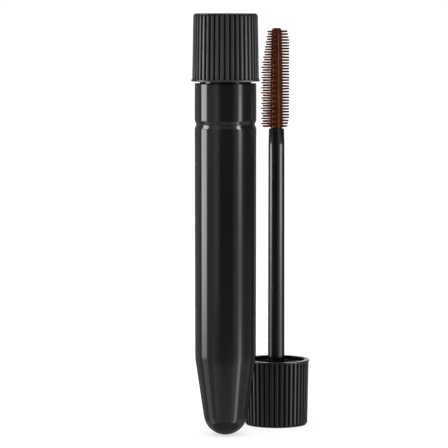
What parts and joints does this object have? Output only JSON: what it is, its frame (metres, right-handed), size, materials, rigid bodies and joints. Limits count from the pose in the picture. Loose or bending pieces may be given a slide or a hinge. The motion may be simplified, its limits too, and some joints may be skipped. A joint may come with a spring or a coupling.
{
  "type": "mascara tube",
  "caption": "Round-tipped mascara tube with a ribbed screw cap and rod applicator inside, and a second applicator standing on its cap.",
  "frame": {"origin": "lowest point of the tube's round tip, on the tube's axis", "axes": "+Z along the tube towards its cap, -Y towards the front, +X towards the second applicator's side"},
  "size_m": [0.0307, 0.0359, 0.1075],
  "materials": {
    "tube_plastic": "polished black moulded plastic",
    "cap_plastic": "satin-gloss black moulded plastic",
    "rod_plastic": "polished black moulded plastic",
    "brush_elastomer": "satin reddish-brown moulded elastomer",
    "seal_rubber": "matt grey elastomer",
    "wiper_plastic": "soft translucent white plastic",
    "mascara": "thick wet cream"
  },
  "bodies": {
    "tube": {"vial": "tube_plastic", "wiper": "wiper_plastic", "mascara_fill": "mascara"},
    "seal_ring": {"rod_seal": "seal_rubber"},
    "liner": {"cap_liner": "seal_rubber"},
    "applicator": {"cap_shell": "cap_plastic", "inner_cap": "cap_plastic", "rod": "rod_plastic", "brush_core": "brush_elastomer", "bristles": "brush_elastomer"},
    "spare_applicator": {"spare_cap_shell": "cap_plastic", "spare_inner_cap": "cap_plastic", "spare_cap_liner": "seal_rubber", "spare_rod_seal": "seal_rubber", "spare_rod": "rod_plastic", "spare_brush_core": "brush_elastomer", "spare_bristles": "brush_elastomer"}
  },
  "joints": [
    {"name": "pull_out", "type": "slide", "parent": "tube", "child": "seal_ring", "axis": [0, 0, 1], "range_m": [0, 0.1], "deforming": ["bristles"]},
    {"name": "thread_rise", "type": "slide", "parent": "seal_ring", "child": "liner", "axis": [0, 0, 1], "range_m": [0, 0.0031]},
    {"name": "cap_turn", "type": "hinge", "parent": "liner", "child": "applicator", "pos_m": [0, 0, 0.1075], "axis": [0, 0, 1], "range_deg": [0, 540]},
    {"name": "spare_lift", "type": "slide", "parent": "tube", "child": "spare_applicator", "axis": [0, 0, 1], "range_m": [0, 0.06]}
  ],
  "couplings": [
    {"joint": "thread_rise", "follows": "cap_turn", "m_per_rad": 0.00031831}
  ]
}
